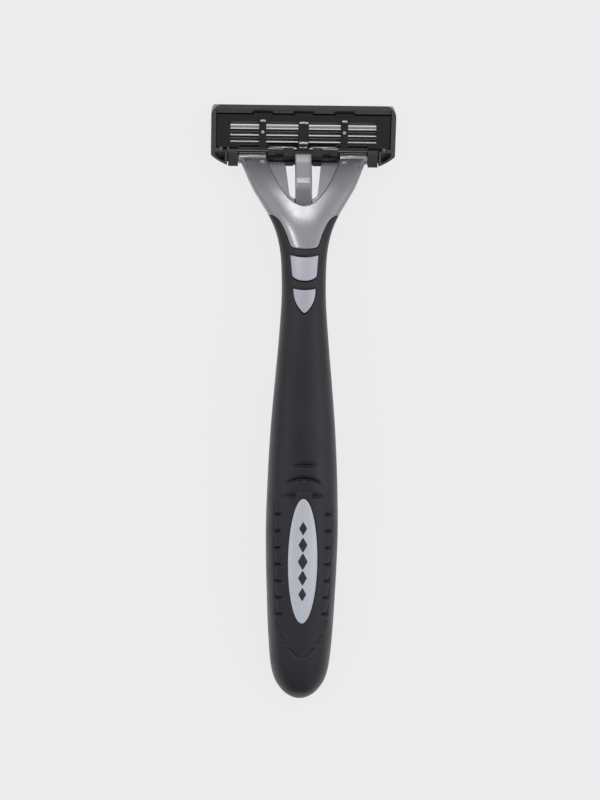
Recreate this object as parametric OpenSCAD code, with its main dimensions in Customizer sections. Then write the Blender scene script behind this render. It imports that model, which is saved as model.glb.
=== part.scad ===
// Cartridge razor: a soft-covered handle with a forked head and a pivoting three-blade cartridge.
// It lies on its back. +Z is the handle's front, +Y points at the head and X runs across.
// The origin lies on the table, under the middle of the whole razor. All sizes are in millimetres.

/* [Handle] */
// Width of the grip where it is widest
grip_w = 16.4; // [15.8:0.1:17]
// Width of the neck below the fork
neck_w = 10.05; // [9.7:0.05:10.5]
// Width over the two arms of the fork
fork_w = 29.4; // [29.2:0.1:29.6]
// Height of the handle's end of the razor below the middle
tail_y = -68.3; // [-70:0.1:-67]

/* [Emblem] */
// Length of the oval emblem
emblem_l = 28.6; // [26:0.2:29.4]
// Width of the oval emblem
emblem_w = 6.8; // [6:0.1:7.2]

/* [Cartridge] */
// Width of the cartridge
cart_w = 42.5; // [42:0.1:43]
// Tilt of the resting cartridge about its pivot, in degrees
cart_tilt = 20; // [18:0.5:21]
// Width of the blades that can be seen through the front of the cartridge
blade_l = 37.5; // [37.3:0.1:37.6]
// Step from one blade to the next
blade_step = 1.55; // [1.5:0.01:1.58]

/* [Fits] */
// Radius of the two pivot pins
pin_r = 0.9; // [0.8:0.05:0.95]
// Gap all round a turning pin
pin_gap = 0.05; // [0.03:0.01:0.08]
// Gap beside parts that pass each other
side_gap = 0.3; // [0.25:0.05:0.35]

/* [Hidden] */

rubber_colour = [0.23, 0.23, 0.26];
pewter_colour = [0.62, 0.61, 0.64];
black_colour = [0.12, 0.12, 0.13];
steel_colour = [0.82, 0.83, 0.84];
emblem_colour = [0.68, 0.70, 0.74];
strip_colour = [0.72, 0.86, 0.82];

// The pivot of the cartridge, and the hinge at the root of the return tongue
pivot_y = 56.1;
pivot_z = 3.45;
root_y = 44.6;
root_z = 9.0;

// Where the rubber ends and the bare fork begins
rubber_end = 42.4;

// ---- The handle's outer form ---------------------------------------------------------------
// Each station is [y, full width, rear surface z, front surface z].
STATIONS = [
    [tail_y, 2.0, 5.0, 6.8], [tail_y + 0.7, 4.9, 3.4, 8.5], [tail_y + 1.8, 7.8, 2.0, 9.9],
    [-64, 11.3, 0.55, 11.4], [-60.5, 13.3, 0, 12.9], [-53, 14.7, 0.55, 15.1], [-45, 15.5, 2.2, 17.0],
    [-37, 16.1, 3.9, 18.4], [-29, grip_w, 5.3, 19.4], [-20, 16.0, 6.6, 20.0], [-8, 14.9, 7.9, 20.2],
    [3, 13.2, 8.6, 19.9], [13, 11.45, 9.0, 19.2], [22, 10.2, 9.1, 18.1], [27, neck_w, 9.0, 17.4],
    [33, 10.55, 8.6, 16.3], [37.5, 12.1, 8.0, 15.1], [41, 14.6, 7.2, 13.9], [45, 19.0, 6.0, 12.1],
    [49, 23.7, 4.6, 10.1], [52.5, 26.7, 3.3, 8.0], [pivot_y, fork_w, 2.15, 5.3]];
WIDTH = 1;
REAR = 2;
FRONT = 3;
last = len(STATIONS) - 1;

// The stations are joined by smooth cubic curves, column k at the height y.
function slope(i, k) =
    let (a = max(i - 1, 0), b = min(i + 1, last))
    (STATIONS[b][k] - STATIONS[a][k]) / (STATIONS[b][0] - STATIONS[a][0]);
function span(y, i = 0) = i >= last - 1 || y <= STATIONS[i + 1][0] ? i : span(y, i + 1);
function at(y, k) =
    let (
        i = span(y),
        h = STATIONS[i + 1][0] - STATIONS[i][0],
        t = (y - STATIONS[i][0]) / h,
        t2 = t * t,
        t3 = t2 * t)
    (2 * t3 - 3 * t2 + 1) * STATIONS[i][k] + (t3 - 2 * t2 + t) * h * slope(i, k)
        + (3 * t2 - 2 * t3) * STATIONS[i + 1][k] + (t3 - t2) * h * slope(i + 1, k);

// A cross-section is a rounded box: rounder along the grip, squarer at the fork.
sides = 44;
function squareness(y) = 2.4 + 1.6 * max(0, min(1, (y - 34) / 14));
function rounded(c, e) = sign(c) * pow(abs(c), 2 / e);
function ring(y, inset) =
    let (
        e = squareness(y),
        a = at(y, WIDTH) / 2 - inset,
        b = (at(y, FRONT) - at(y, REAR)) / 2 - inset,
        mid = (at(y, FRONT) + at(y, REAR)) / 2)
    [for (i = [0 : sides - 1]) let (t = 360 * i / sides)
        [a * rounded(cos(t), e), y, mid + b * rounded(sin(t), e)]];

RING_Y = concat([for (d = [0.3, 0.7, 1.2, 1.9, 2.9, 4.3, 6, 7.8]) tail_y + d], [for (y = [-58 : 4 : 30]) y],
    [33, 35, 37, 39, 41], [for (y = [42.9 : 1.2 : 55.6]) y]);

// The handle's form from y0 to y1, its surface drawn in by inset
module form(y0, y1, inset = 0) {
    ys = concat([y0], [for (y = RING_Y) if (y > y0 + 0.2 && y < y1 - 0.4) y], [y1]);
    rings = len(ys);
    walls = [for (j = [0 : rings - 2], i = [0 : sides - 1]) let (k = (i + 1) % sides)
        [j * sides + i, j * sides + k, (j + 1) * sides + k, (j + 1) * sides + i]];
    ends = [[for (i = [sides - 1 : -1 : 0]) i], [for (i = [0 : sides - 1]) (rings - 1) * sides + i]];
    polyhedron([for (y = ys) each ring(y, inset)], concat(walls, ends), convexity = 4);
}

// A prism through the handle whose side view is drawn as [y, z] points
module side_prism(points, x0, x1) {
    translate([x0, 0, 0]) rotate([90, 0, 90]) linear_extrude(x1 - x0) polygon(points);
}

// A prism standing on the table whose plan is symmetrical: points give its right edge, bottom to top
module plan_prism(points, z0, z1) {
    mirrored = [for (i = [len(points) - 1 : -1 : 0]) [-points[i][0], points[i][1]]];
    translate([0, 0, z0]) linear_extrude(z1 - z0) polygon(concat(points, mirrored));
}

// ---- The fork and its throat ---------------------------------------------------------------
tip_r = 1.3;
arm_in = 8.6;
u_bottom = 44.75;
u_rise = 0.154;
web_end = 55;
tongue_w = 3.84;
slot_in = tongue_w / 2;

// Right edge of the U between the arms, a parabola
function u_edge(x) = u_bottom + u_rise * x * x;
U_EDGE = [for (x = [0 : 0.85 : 8.5]) [x, u_edge(x)]];

module fork_opening() {
    plan_prism(concat(U_EDGE, [[arm_in, 56.3], [arm_in, 60], [0, 60]]), -1, 25);
}

// The pewter throat that runs down into the rubber, up to the rubber's end
THROAT = [[0, 34.5], [1.6, 34.6], [2.7, 34.8], [3.25, 35.2], [3.7, 36.5], [4.15, 37.9],
    [4.8, 39.4], [5.7, 41.1], [6.8, 42.1], [7.8, rubber_end], [20, rubber_end]];

// The face where the two core halves meet: level in the grip, then sloping down to the pivots
SPLIT = [[-62, 6.4], [-45, 9.6], [-20, 13.3], [13, 14.1], [27, 13.2], [36, 11.6], [43.5, 9.6], [47, 9.0],
    [50.6, 7.9], [54.5, 5.9], [pivot_y, 4.8]];
module below_split() {
    side_prism(concat([[-62, -1], [pivot_y, -1]], [for (i = [len(SPLIT) - 1 : -1 : 0]) SPLIT[i]]), -20, 20);
}

// The part of the core that the rubber surrounds, a plain bar inside the form
core_end = 36;
core_share = [0.62, 0.56];
CORE_Y = [-61, -53, -37, -29, -8, 13, 22, 27, 33, core_end];
module inner_core() {
    intersection() {
        plan_prism([for (y = CORE_Y) [at(y, WIDTH) / 2 * core_share[0], y]], -1, 25);
        side_prism(concat([for (y = CORE_Y) [y, core_face(y, -1)]],
            [for (i = [len(CORE_Y) - 1 : -1 : 0]) [CORE_Y[i], core_face(CORE_Y[i], 1)]]), -20, 20);
    }
}
function core_face(y, way) =
    (at(y, FRONT) + at(y, REAR)) / 2 + way * core_share[1] * (at(y, FRONT) - at(y, REAR)) / 2;

// Everything that is pewter above the throat's bottom edge
module fork_form() {
    intersection() {
        form(33, pivot_y);
        plan_prism(concat(THROAT, [[20, 60], [0, 60]]), -1, 25);
    }
}

// ---- Windows through the rubber on the front of the neck ------------------------------------
// Each outline is the right half of the opening, from the bottom to the top.
BOX_WINDOW = [[0, 27], [1.35, 27.2], [2.35, 27.65], [3, 28.2],
    [3.45, 33.4], [2.75, 33.2], [1.5, 32.9], [0, 32.8]];
SHIELD_WINDOW = [[0, 19.65], [0.55, 19.95], [1.6, 21.2], [2.3, 22.5], [2.65, 23.9], [2.8, 25.75], [2.05, 25.55],
    [1.1, 25.4], [0, 25.3]];
pad_gap = 0.12;
pad_floor = 14.3;
module window_cut(outline) {
    plan_prism(outline, pad_floor, 25);
}
module pad(outline, y0, y1) {
    intersection() {
        form(y0, y1, 0.35);
        translate([0, 0, pad_floor]) linear_extrude(9) offset(delta = -pad_gap) polygon(concat(outline,
            [for (i = [len(outline) - 1 : -1 : 0]) [-outline[i][0], outline[i][1]]]));
    }
}

// ---- The emblem ------------------------------------------------------------------------------
emblem_y = -36.15;
emblem_t = 0.9;
emblem_sunk = 0.1;
module oval(grow) {
    translate([0, emblem_y, 8]) scale([(emblem_w / 2 + grow) / 10, (emblem_l / 2 + grow) / 10, 1])
        cylinder(h = 16, r = 10, $fn = 64);
}

// ---- Handle nodes ----------------------------------------------------------------------------
module handle_core_front() {
    color(pewter_colour) {
        difference() {
            union() {
                inner_core();
                fork_form();
            }
            below_split();
            fork_opening();
            arm_ends();
            // Room for the tongue's root
            translate([-slot_in - 0.15, root_y - 1, root_z - 0.5]) cube([tongue_w + 0.3, 3, 1.3]);
            peg_holes();
        }
        pad(BOX_WINDOW, 26, 34.5);
        pad(SHIELD_WINDOW, 19, 26.5);
    }
}

// The cover's arms stop short in a round-shouldered edge, which leaves the bare arm tips
ARM_END = [[8, 55.9], [11, 56.05], [12.7, 55.8], [13.6, 55.2], [14.1, 54.6], [16, 54], [16, 60], [8, 60]];
module arm_ends() {
    for (side = [-1, 1])
        scale([side, 1, 1]) translate([0, 0, -1]) linear_extrude(22)
            polygon(ARM_END);
}

PEGS = [[0, 4], [0, -20], [0, -52]];
peg_r = 1.2;
peg_top = 2.2;
module pegs(r, from, to) {
    for (p = PEGS)
        translate([p[0], p[1], split_z(p[1]) - from]) cylinder(h = from + to, r = r, $fn = 32);
}
module peg_holes() {
    pegs(peg_r, 3, peg_top);
}
function split_z(y) = lookup(y, SPLIT);

// Side view of the thin floor between the arms
WEB = [[43.4, 9.4], [47, 8.95], [50.6, 7.85], [54.5, 5.85], [web_end, 5.45],
    [web_end, 4.9], [54.6, 5.0], [50.4, 6.5], [47, 7.6], [43.4, 8.0]];
module handle_core_rear() {
    color(pewter_colour) {
        difference() {
            union() {
                difference() {
                    intersection() {
                        union() {
                            inner_core();
                            fork_form();
                        }
                        below_split();
                    }
                    fork_opening();
                }
                web();
                arm_tips();
            }
            tongue_opening();
            tongue_socket();
        }
        pegs(peg_r, 1, peg_top - 0.2);
    }
}

// The thin floor of the U, clear of the cartridge's turning circle
module web() {
    difference() {
        intersection() {
            side_prism(WEB, -10, 10);
            plan_prism(concat([for (p = U_EDGE) [p[0] + 0.02, p[1] - 0.3]], [[8.55, 60], [0, 60]]), -1, 25);
        }
        translate([-10, pivot_y, pivot_z]) rotate([0, 90, 0]) cylinder(h = 20, r = 2.0, $fn = 64);
    }
}

// The see-through slots beside the tongue, and the notch that the tongue lies in
SLOT = [[0, 46.5], [2.2, 46.5], [2.7, 46.7], [3.1, 47.1], [3.3, 47.8], [4.0, 53.9], [4.4, 55.2], [0, 55.2]];
module tongue_opening() {
    plan_prism(SLOT, -1, 25);
    translate([-slot_in - 0.15, root_y, root_z - 0.85]) cube([tongue_w + 0.3, 3, 3]);
}
root_r = 0.7;
module tongue_socket() {
    translate([-slot_in - 0.15, root_y, root_z]) rotate([0, 90, 0])
        cylinder(h = tongue_w + 0.3, r = root_r + pin_gap, $fn = 48);
}

// Round arm tips with the pivot pins that point outwards
pin_l = 2.1;
module arm_tips() {
    for (side = [-1, 1])
        translate([side * (arm_in + fork_w / 2) / 2, pivot_y, pivot_z]) rotate([0, 90, 0])
            cylinder(h = fork_w / 2 - arm_in, r = tip_r, center = true, $fn = 64);
    translate([0, pivot_y, pivot_z]) rotate([0, 90, 0]) difference() {
        cylinder(h = fork_w + 2 * pin_l, r = pin_r, center = true, $fn = 64);
        cylinder(h = fork_w - 1, r = 3, center = true, $fn = 64);
    }
}

// Grooves in the grip: three thumb grooves across the front and a row of seven on each side
thumb_y = [-13.9, -17.2, -20];
groove_y0 = -25.7;
groove_step = 3.8;
module thumb_groove(y, half, r) {
    top = at(y, FRONT);
    hull()
        for (side = [-1, 0, 1])
            translate([side * half, y + 0.25 * abs(side), top + 0.15 - 0.55 * abs(side)])
                rotate([0, 90, 0]) cylinder(h = 0.3, r = r, center = true, $fn = 16);
}
module side_groove(y, side) {
    half = at(y, WIDTH) / 2;
    hull()
        for (k = [0, 1])
            translate([side * (half - 1.15 - 2.5 * (1 - k)), y - 0.5 * k,
                at(y, FRONT) - 0.5 - 2.0 * k]) sphere(r = 0.4, $fn = 12);
}

module rubber_grip() {
    color(rubber_colour)
        difference() {
            form(tail_y, rubber_end + 1);
            inner_core();
            plan_prism(concat(THROAT, [[20, 60], [0, 60]]), -1, 25);
            window_cut(BOX_WINDOW);
            window_cut(SHIELD_WINDOW);
            // Pocket that the emblem lies in
            difference() {
                oval(0.1);
                form(-60, -15, emblem_t + emblem_sunk);
            }
            thumb_groove(thumb_y[0], 2.9, 0.85);
            thumb_groove(thumb_y[1], 4.3, 0.75);
            thumb_groove(thumb_y[2], 3.6, 0.6);
            for (i = [0 : 6], side = [-1, 1])
                side_groove(groove_y0 - i * groove_step, side);
        }
}

module emblem_plate() {
    color(emblem_colour)
        difference() {
            intersection() {
                form(-60, -15, emblem_sunk);
                oval(0);
            }
            form(-62, -13, emblem_t + emblem_sunk);
        }
}

// ---- The tongue that pushes the cartridge back -------------------------------------------------
// Its side view: the rear face towards the head, round the tip, and back along the front face
TONGUE = [[45.2, 8.45], [48, 8.4], [49.4, 8.15], [50.4, 7.8], [53, 6.55], [55, 5.55], [56.9, 4.85],
    [57.15, 4.9], [57.25, 5.2], [57.05, 5.65],
    [55, 6.65], [53, 7.72], [51.2, 8.68], [50.6, 8.96], [50, 9.18], [49.2, 9.38], [47.8, 9.55], [45.2, 9.6]];
module return_tongue() {
    color(pewter_colour) {
        translate([-slot_in, root_y, root_z]) rotate([0, 90, 0]) cylinder(h = tongue_w, r = root_r, $fn = 48);
        side_prism(concat([[root_y, root_z - 0.5]], TONGUE, [[root_y, root_z + 0.6]]), -slot_in, slot_in);
    }
}

// ---- Cartridge ---------------------------------------------------------------------------------
// In the cartridge's own frame x runs across, y from the guard to the cap, and z towards the handle.
module in_cartridge() {
    translate([0, pivot_y, pivot_z]) rotate([cart_tilt, 0, 0]) children();
}
skin = -3.0;
back = 1.2;
guard_v = -1.7;
cap_v = 12.9;
half_w = cart_w / 2;
rim = 1.1;
module block(x0, x1, v0, v1, w0, w1) {
    translate([x0, v0, w0]) cube([x1 - x0, v1 - v0, w1 - w0]);
}
module both_sides() {
    children();
    mirror([1, 0, 0]) children();
}

// Its lower corners are cut off along a flat curve, CORNER wide and high, and its upper ones are round.
corner_r = 2.7;
CORNER = [4.65, 2.7];
corner_bend = 1.6;
OUTLINE = concat(
    [for (t = [0 : 10 : 90]) [half_w - CORNER[0] + CORNER[0] * pow(sin(t), corner_bend),
        guard_v + CORNER[1] - CORNER[1] * pow(cos(t), corner_bend)]],
    [for (t = [0 : 15 : 90]) [half_w - corner_r + corner_r * cos(t), cap_v - corner_r + corner_r * sin(t)]]);
POCKET = [[18.05, -0.55], [18.9, -0.25], [19.7, 0.3], [20.3, 1.0], [20.3, 1.75], [18.05, 1.75]];
cap_slope = 1;
ledge_v = 10.65;
ledge_w = 0.15;
recess_w = 20.15;
bay_w = 17.5;
blade_1_v = 3.87;
module cartridge_housing() {
    color(black_colour) in_cartridge() difference() {
        plan_prism(OUTLINE, skin, back);
        // The cap's side slopes in towards the skin
        side_prism([[cap_v, back], [cap_v - cap_slope, skin], [cap_v - cap_slope, skin - 1],
            [cap_v + 1, skin - 1], [cap_v + 1, back]], -half_w - 1, half_w + 1);
        // Recess for the carrier, with a ledge under the cap's rim, and the opening for the blades
        block(-recess_w, recess_w, 2.65, ledge_v, skin + 2.05, back + 1);
        block(-recess_w, recess_w, ledge_v - 1, cap_v - rim, ledge_w, back + 1);
        block(-19.2, 19.2, 2.15, 7.75, skin - 1, back + 1);
        block(-17.3, 17.3, 1.15, 7.75, skin - 1, back + 1);
        // Bay for the bracket and the handle's arms, open towards the handle
        block(-bay_w, bay_w, guard_v - 1, 2.7, -2.1, back + 1);
        // Pockets on the skin side for the strip and the guard fins
        block(-17.8, 17.8, 8.3, 10.9, skin - 1, skin + 0.75);
        block(-17.4, 17.4, -1.3, 0.9, skin - 1, skin + 0.45);
        // Pockets in the lower corners and notches for the hooks
        both_sides() translate([0, 0, -1.6]) linear_extrude(5) polygon(POCKET);
        for (u = hooks)
            block(u - 2.4, u + 2.4, 10, 11.3, -0.35, back + 1);
    }
}

// ---- Blade carrier: an open grid with combs that hold the blade supports
hooks = [-9.4, 0, 9.4];
combs = [-17.9, -9.4, 0, 9.4, 17.9];
carrier_back = 0.7;
carrier_front = -0.95;
comb_front = -1.95;
support_t = 0.3;
support_gap = 0.03;
module blade_carrier() {
    color(black_colour) in_cartridge() difference() {
        union() {
            difference() {
                block(-20, 20, 2.75, 10.45, carrier_front, carrier_back);
                both_sides() {
                    block(1.2, 8.6, 2, 8.87, -5, 5);
                    block(10.25, 16.8, 3.87, 8.87, -5, 5);
                    block(10.3, 14.8, 2, 3.6, -5, 5);
                }
            }
            // Ribs that stand up from the grid
            block(-1.2, 1.2, 3.75, 9.2, carrier_back - 0.2, 1.0);
            both_sides() block(8.6, 10.25, 2.75, 9.2, carrier_back - 0.2, 1.0);
            for (u = combs)
                block(u - 0.75, u + 0.75, 3.1, 7.65, comb_front, carrier_front + 0.1);
            // T-shaped hooks that snap over the cap
            for (u = hooks) {
                block(u - 0.65, u + 0.65, 9.0, 10.3, carrier_front, 0.9);
                block(u - 2.15, u + 2.15, 10.05, 10.9, -0.3, 0.95);
            }
        }
        // Low step of the middle rib where the tongue comes by, and the legs' slots
        block(-1.3, 1.3, 2, 3.75, 0.05, 5);
        for (n = [0 : 2])
            block(-blade_l / 2 - 0.1, blade_l / 2 + 0.1, leg_v(n) - support_gap,
                leg_v(n) + support_t + support_gap, -3, leg_back + support_gap);
    }
}

// ---- Blades, each a bent steel support with a thin edge strip on it
leg_back = 0.35;
leg_front = -2.0;
plate_run = 1.25;
plate_drop = 0.5;
plate_turn = atan(plate_drop / plate_run);
function leg_v(n) = blade_1_v + n * blade_step;
module blade_support(n) {
    v = leg_v(n);
    color(steel_colour) in_cartridge()
        side_prism([[v, leg_back], [v, leg_front], [v - plate_run, leg_front - plate_drop],
            [v - plate_run + 0.1, leg_front - plate_drop - 0.28], [v + support_t, leg_front - 0.2],
            [v + support_t, leg_back]], -blade_l / 2, blade_l / 2);
}
module blade_edge(n) {
    v = leg_v(n);
    color(steel_colour) in_cartridge()
        translate([0, v - plate_run + 0.1, leg_front - plate_drop - 0.28]) rotate([plate_turn, 0, 0])
            side_prism([[-0.5, -0.02], [0.75, 0], [0.75, -0.1], [-0.2, -0.1]],
                -blade_l / 2 + 0.2, blade_l / 2 - 0.2);
}
module blade_support_1() { blade_support(0); }
module blade_support_2() { blade_support(1); }
module blade_support_3() { blade_support(2); }
module blade_edge_1() { blade_edge(0); }
module blade_edge_2() { blade_edge(1); }
module blade_edge_3() { blade_edge(2); }

// ---- Skin-side trim
module lubricating_strip() {
    color(strip_colour) in_cartridge() block(-17.8, 17.8, 8.3, 10.9, skin - 0.05, skin + 0.75);
}
fin_pitch = 0.44;
fin_t = 0.2;
module guard_fins() {
    color(rubber_colour) in_cartridge() {
        block(-17.35, 17.35, -1.25, 0.85, skin + 0.15, skin + 0.45);
        for (v = [-1.2 : fin_pitch : 0.7])
            block(-17.2, 17.2, v, v + fin_t, skin - 0.1, skin + 0.2);
    }
}

// ---- Pivot bracket: carries the two bores and the ramp that the tongue presses on
bore_in = fork_w / 2 + side_gap;
block_out = 17.25;
cam_v = 1.4;
cam_w = -0.1;
cam_r = 0.95;
beam_w = 7.4;
module pivot_bracket() {
    color(black_colour) in_cartridge() difference() {
        union() {
            block(-block_out, block_out, 1.85, 2.65, -1.9, 0);
            both_sides() side_prism([[-1.6, -2.1], [2.65, -2.1], [2.65, 0.1], [1.5, 1.3], [-1.6, 1.3]],
                bore_in, block_out);
            block(-beam_w, beam_w, -1.6, 1.9, -1.9, -0.4);
            block(-beam_w, beam_w, 1.7, 2.65, -1.9, 0.45);
            both_sides() block(beam_w - 1, beam_w + 0.6, -0.4, 2.65, -1.9, 0.45);
            translate([0, cam_v, cam_w]) rotate([0, 90, 0])
                cylinder(h = 2 * slot_in + 0.6, r = cam_r, center = true, $fn = 64);
            both_sides() block(slot_in + 0.3, slot_in + 2.6, -1.6, 2.65, -1.9, 0.7);
        }
        rotate([0, 90, 0]) cylinder(h = 60, r = pin_r + pin_gap, center = true, $fn = 64);
        block(-slot_in - 0.3, slot_in + 0.3, 1.95, 3, 0.1, 2);
        block(-cart_w, cart_w, guard_v - 3, guard_v + 0.05, -5, 5);
    }
}

handle_core_front();
handle_core_rear();
rubber_grip();
emblem_plate();
return_tongue();
cartridge_housing();
blade_carrier();
pivot_bracket();
blade_support_1();
blade_support_2();
blade_support_3();
blade_edge_1();
blade_edge_2();
blade_edge_3();
lubricating_strip();
guard_fins();
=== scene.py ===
import math

import bpy
import numpy as np
from mathutils import Matrix, Vector

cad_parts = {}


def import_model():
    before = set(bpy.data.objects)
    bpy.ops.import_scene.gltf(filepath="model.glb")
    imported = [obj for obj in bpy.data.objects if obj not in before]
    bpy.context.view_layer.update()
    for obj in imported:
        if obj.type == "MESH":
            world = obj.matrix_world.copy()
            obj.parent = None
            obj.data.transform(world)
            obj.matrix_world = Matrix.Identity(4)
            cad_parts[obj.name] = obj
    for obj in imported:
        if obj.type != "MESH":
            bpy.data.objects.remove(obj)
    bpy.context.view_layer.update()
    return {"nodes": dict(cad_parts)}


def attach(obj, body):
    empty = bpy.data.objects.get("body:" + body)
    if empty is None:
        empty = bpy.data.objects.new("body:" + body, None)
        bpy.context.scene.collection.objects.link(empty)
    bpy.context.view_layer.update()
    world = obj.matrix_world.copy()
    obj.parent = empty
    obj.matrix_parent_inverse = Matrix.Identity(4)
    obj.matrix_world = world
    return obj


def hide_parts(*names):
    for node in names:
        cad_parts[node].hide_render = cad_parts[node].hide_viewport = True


# The looks of the cartridge razor: fine surfaces, materials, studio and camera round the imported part.
# The tables below are in millimetres in the part's frame; MM turns them into metres for the meshes.
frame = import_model()
NODES = frame["nodes"]
MM = 0.001

# ---- The handle's outer form, as the part defines it -------------------------------------------
TAIL_Y = -68.3
TAIL_ROUND = 0.7
PIVOT_Y = 56.1
PIVOT_Z = 3.45
CART_TILT = 20
RUBBER_END = 42.4
# [y, full width, rear z, front z], and the names of the last three columns
STATIONS = np.array([
    [TAIL_Y, 2.0, 5.0, 6.8], [TAIL_Y + TAIL_ROUND, 4.9, 3.4, 8.5], [TAIL_Y + 1.8, 7.8, 2.0, 9.9],
    [-64, 11.3, 0.55, 11.4], [-60.5, 13.3, 0, 12.9], [-53, 14.7, 0.55, 15.1], [-45, 15.5, 2.2, 17.0],
    [-37, 16.1, 3.9, 18.4], [-29, 16.4, 5.3, 19.4], [-20, 16.0, 6.6, 20.0], [-8, 14.9, 7.9, 20.2],
    [3, 13.2, 8.6, 19.9], [13, 11.45, 9.0, 19.2], [22, 10.2, 9.1, 18.1], [27, 10.05, 9.0, 17.4],
    [33, 10.55, 8.6, 16.3], [37.5, 12.1, 8.0, 15.1], [41, 14.6, 7.2, 13.9], [45, 19.0, 6.0, 12.1],
    [49, 23.7, 4.6, 10.1], [52.5, 26.7, 3.3, 8.0], [PIVOT_Y, 29.4, 2.15, 5.3]])
WIDTH, REAR, FRONT = 1, 2, 3
# How square a section is, as the power of a superellipse: POWER in the grip, and more from SQUARE_Y to the head
POWER = 2.4
POWER_RISE = 1.6
SQUARE_Y = 34
SQUARE_RUN = 14
# Points on half a section, and how many of them are on its front
RING_POINTS = 1201
RING_FRONT = 600

# Right half of each outline on the handle's front, from the bottom to the top
THROAT = [[0, 34.5], [1.6, 34.6], [2.7, 34.8], [3.25, 35.2], [3.7, 36.5], [4.15, 37.9], [4.8, 39.4],
          [5.7, 41.1], [6.8, 42.1], [7.8, RUBBER_END]]
BOX_WINDOW = [[0, 27], [1.35, 27.2], [2.35, 27.65], [3, 28.2], [3.45, 33.4], [2.75, 33.2], [1.5, 32.9], [0, 32.8]]
SHIELD_WINDOW = [[0, 19.65], [0.55, 19.95], [1.6, 21.2], [2.3, 22.5], [2.65, 23.9], [2.8, 25.75], [2.05, 25.55],
                 [1.1, 25.4], [0, 25.3]]
ARM_END = [[14.15, 54.6], [13.6, 55.2], [12.7, 55.8], [11, 56.05]]
# [y, z] of the line on the handle's side where the fork's cover meets the rear half of the core
SPLIT = np.array([[36, 11.6], [43.5, 9.6], [47, 9.0], [50.6, 7.9], [54.5, 5.9], [PIVOT_Y, 4.8]])
# The U between the arms: U_RISE * x * x above its bottom, and straight from ARM_IN on
U_BOTTOM = 44.75
U_RISE = 0.154
ARM_IN = 8.6
EMBLEM_Y = -36.15
EMBLEM_L = 28.6
EMBLEM_W = 6.8


def column_at(y, column):
    """The smooth curve through one column of the stations, at the heights y."""
    y = np.asarray(y, float)
    s, c = STATIONS[:, 0], STATIONS[:, column]
    low, high = np.maximum(np.arange(len(s)) - 1, 0), np.minimum(np.arange(len(s)) + 1, len(s) - 1)
    slope = (c[high] - c[low]) / (s[high] - s[low])
    i = np.clip(np.searchsorted(s, y, side="right") - 1, 0, len(s) - 2)
    h = s[i + 1] - s[i]
    t = (y - s[i]) / h
    return ((2 * t**3 - 3 * t**2 + 1) * c[i] + (t**3 - 2 * t**2 + t) * h * slope[i]
            + (3 * t**2 - 2 * t**3) * c[i + 1] + (t**3 - t**2) * h * slope[i + 1])


def section(y):
    """Half width, half thickness, middle height and squareness of the form at y. The tail closes in a dome."""
    y = np.asarray(y, float)
    full = np.maximum(y, TAIL_Y + TAIL_ROUND)
    tip = np.sqrt(np.clip((y - TAIL_Y) / TAIL_ROUND, 0, 1))
    rear, front = column_at(full, REAR), column_at(full, FRONT)
    return (column_at(full, WIDTH) / 2 * tip, (front - rear) / 2 * tip, (front + rear) / 2,
            POWER + POWER_RISE * np.clip((y - SQUARE_Y) / SQUARE_RUN, 0, 1))


def half_ring(y):
    """A dense line of x, z and length along it, from the front's middle down the right side to the rear's middle."""
    half, thick, mid, e = section(y)
    t = np.linspace(0, 1, RING_POINTS)
    turn = math.pi / 2 * np.cos(math.pi * t)
    x = half * np.abs(np.cos(turn)) ** (2 / e)
    z = mid + thick * np.sign(np.sin(turn)) * np.abs(np.sin(turn)) ** (2 / e)
    return x, z, np.concatenate([[0], np.cumsum(np.hypot(np.diff(x), np.diff(z)))])


def front_z(x, y):
    """Height of the form's front surface."""
    half, thick, mid, e = section(y)
    return mid + thick * (1 - np.clip(np.abs(x) / half, 0, 1) ** e) ** (1 / e)


def smooth(t):
    """0 below 0, 1 above 1, and an even rise between."""
    t = np.clip(t, 0, 1)
    return t * t * (3 - 2 * t)


# ---- Outlines ------------------------------------------------------------------------------------
FILLET_POINTS = 6
LIP_WALL = 0.12
TINY = 1e-12


def mirrored(points):
    """A closed outline from its right half, which starts and ends on the middle line."""
    return [list(p) for p in points] + [[-x, y] for x, y in reversed(points[1:-1])]


def filleted(points, reach, closed=True):
    """The outline with each corner turned into a short curve that starts up to `reach` away from it."""
    p = np.asarray(points, float)
    out = []
    for i in range(len(p)):
        if not closed and i in (0, len(p) - 1):
            out.append(p[i])
            continue
        back, on = p[i - 1] - p[i], p[(i + 1) % len(p)] - p[i]
        a = p[i] + back * min(0.5, reach / np.linalg.norm(back))
        b = p[i] + on * min(0.5, reach / np.linalg.norm(on))
        out += [(1 - s) ** 2 * a + 2 * s * (1 - s) * p[i] + s * s * b for s in np.linspace(0, 1, FILLET_POINTS)]
    return np.array(out)


def resampled(outline, count):
    """`count` points evenly spaced along a closed outline."""
    p = np.vstack([outline, outline[:1]])
    length = np.concatenate([[0], np.cumsum(np.linalg.norm(np.diff(p, axis=0), axis=1))])
    at = np.linspace(0, length[-1], count, endpoint=False)
    return np.stack([np.interp(at, length, p[:, 0]), np.interp(at, length, p[:, 1])], axis=1)


def distance(points, x, y, closed=False):
    """Distance from the places x, y to a line of points."""
    p = np.asarray(points, float)
    q = np.roll(p, -1, axis=0) if closed else p[1:]
    best = np.full(np.shape(x), np.inf)
    for a, b in zip(p[:len(q)], q):
        d = b - a
        t = np.clip(((x - a[0]) * d[0] + (y - a[1]) * d[1]) / max(d @ d, TINY), 0, 1)
        best = np.minimum(best, np.hypot(x - a[0] - t * d[0], y - a[1] - t * d[1]))
    return best


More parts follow.
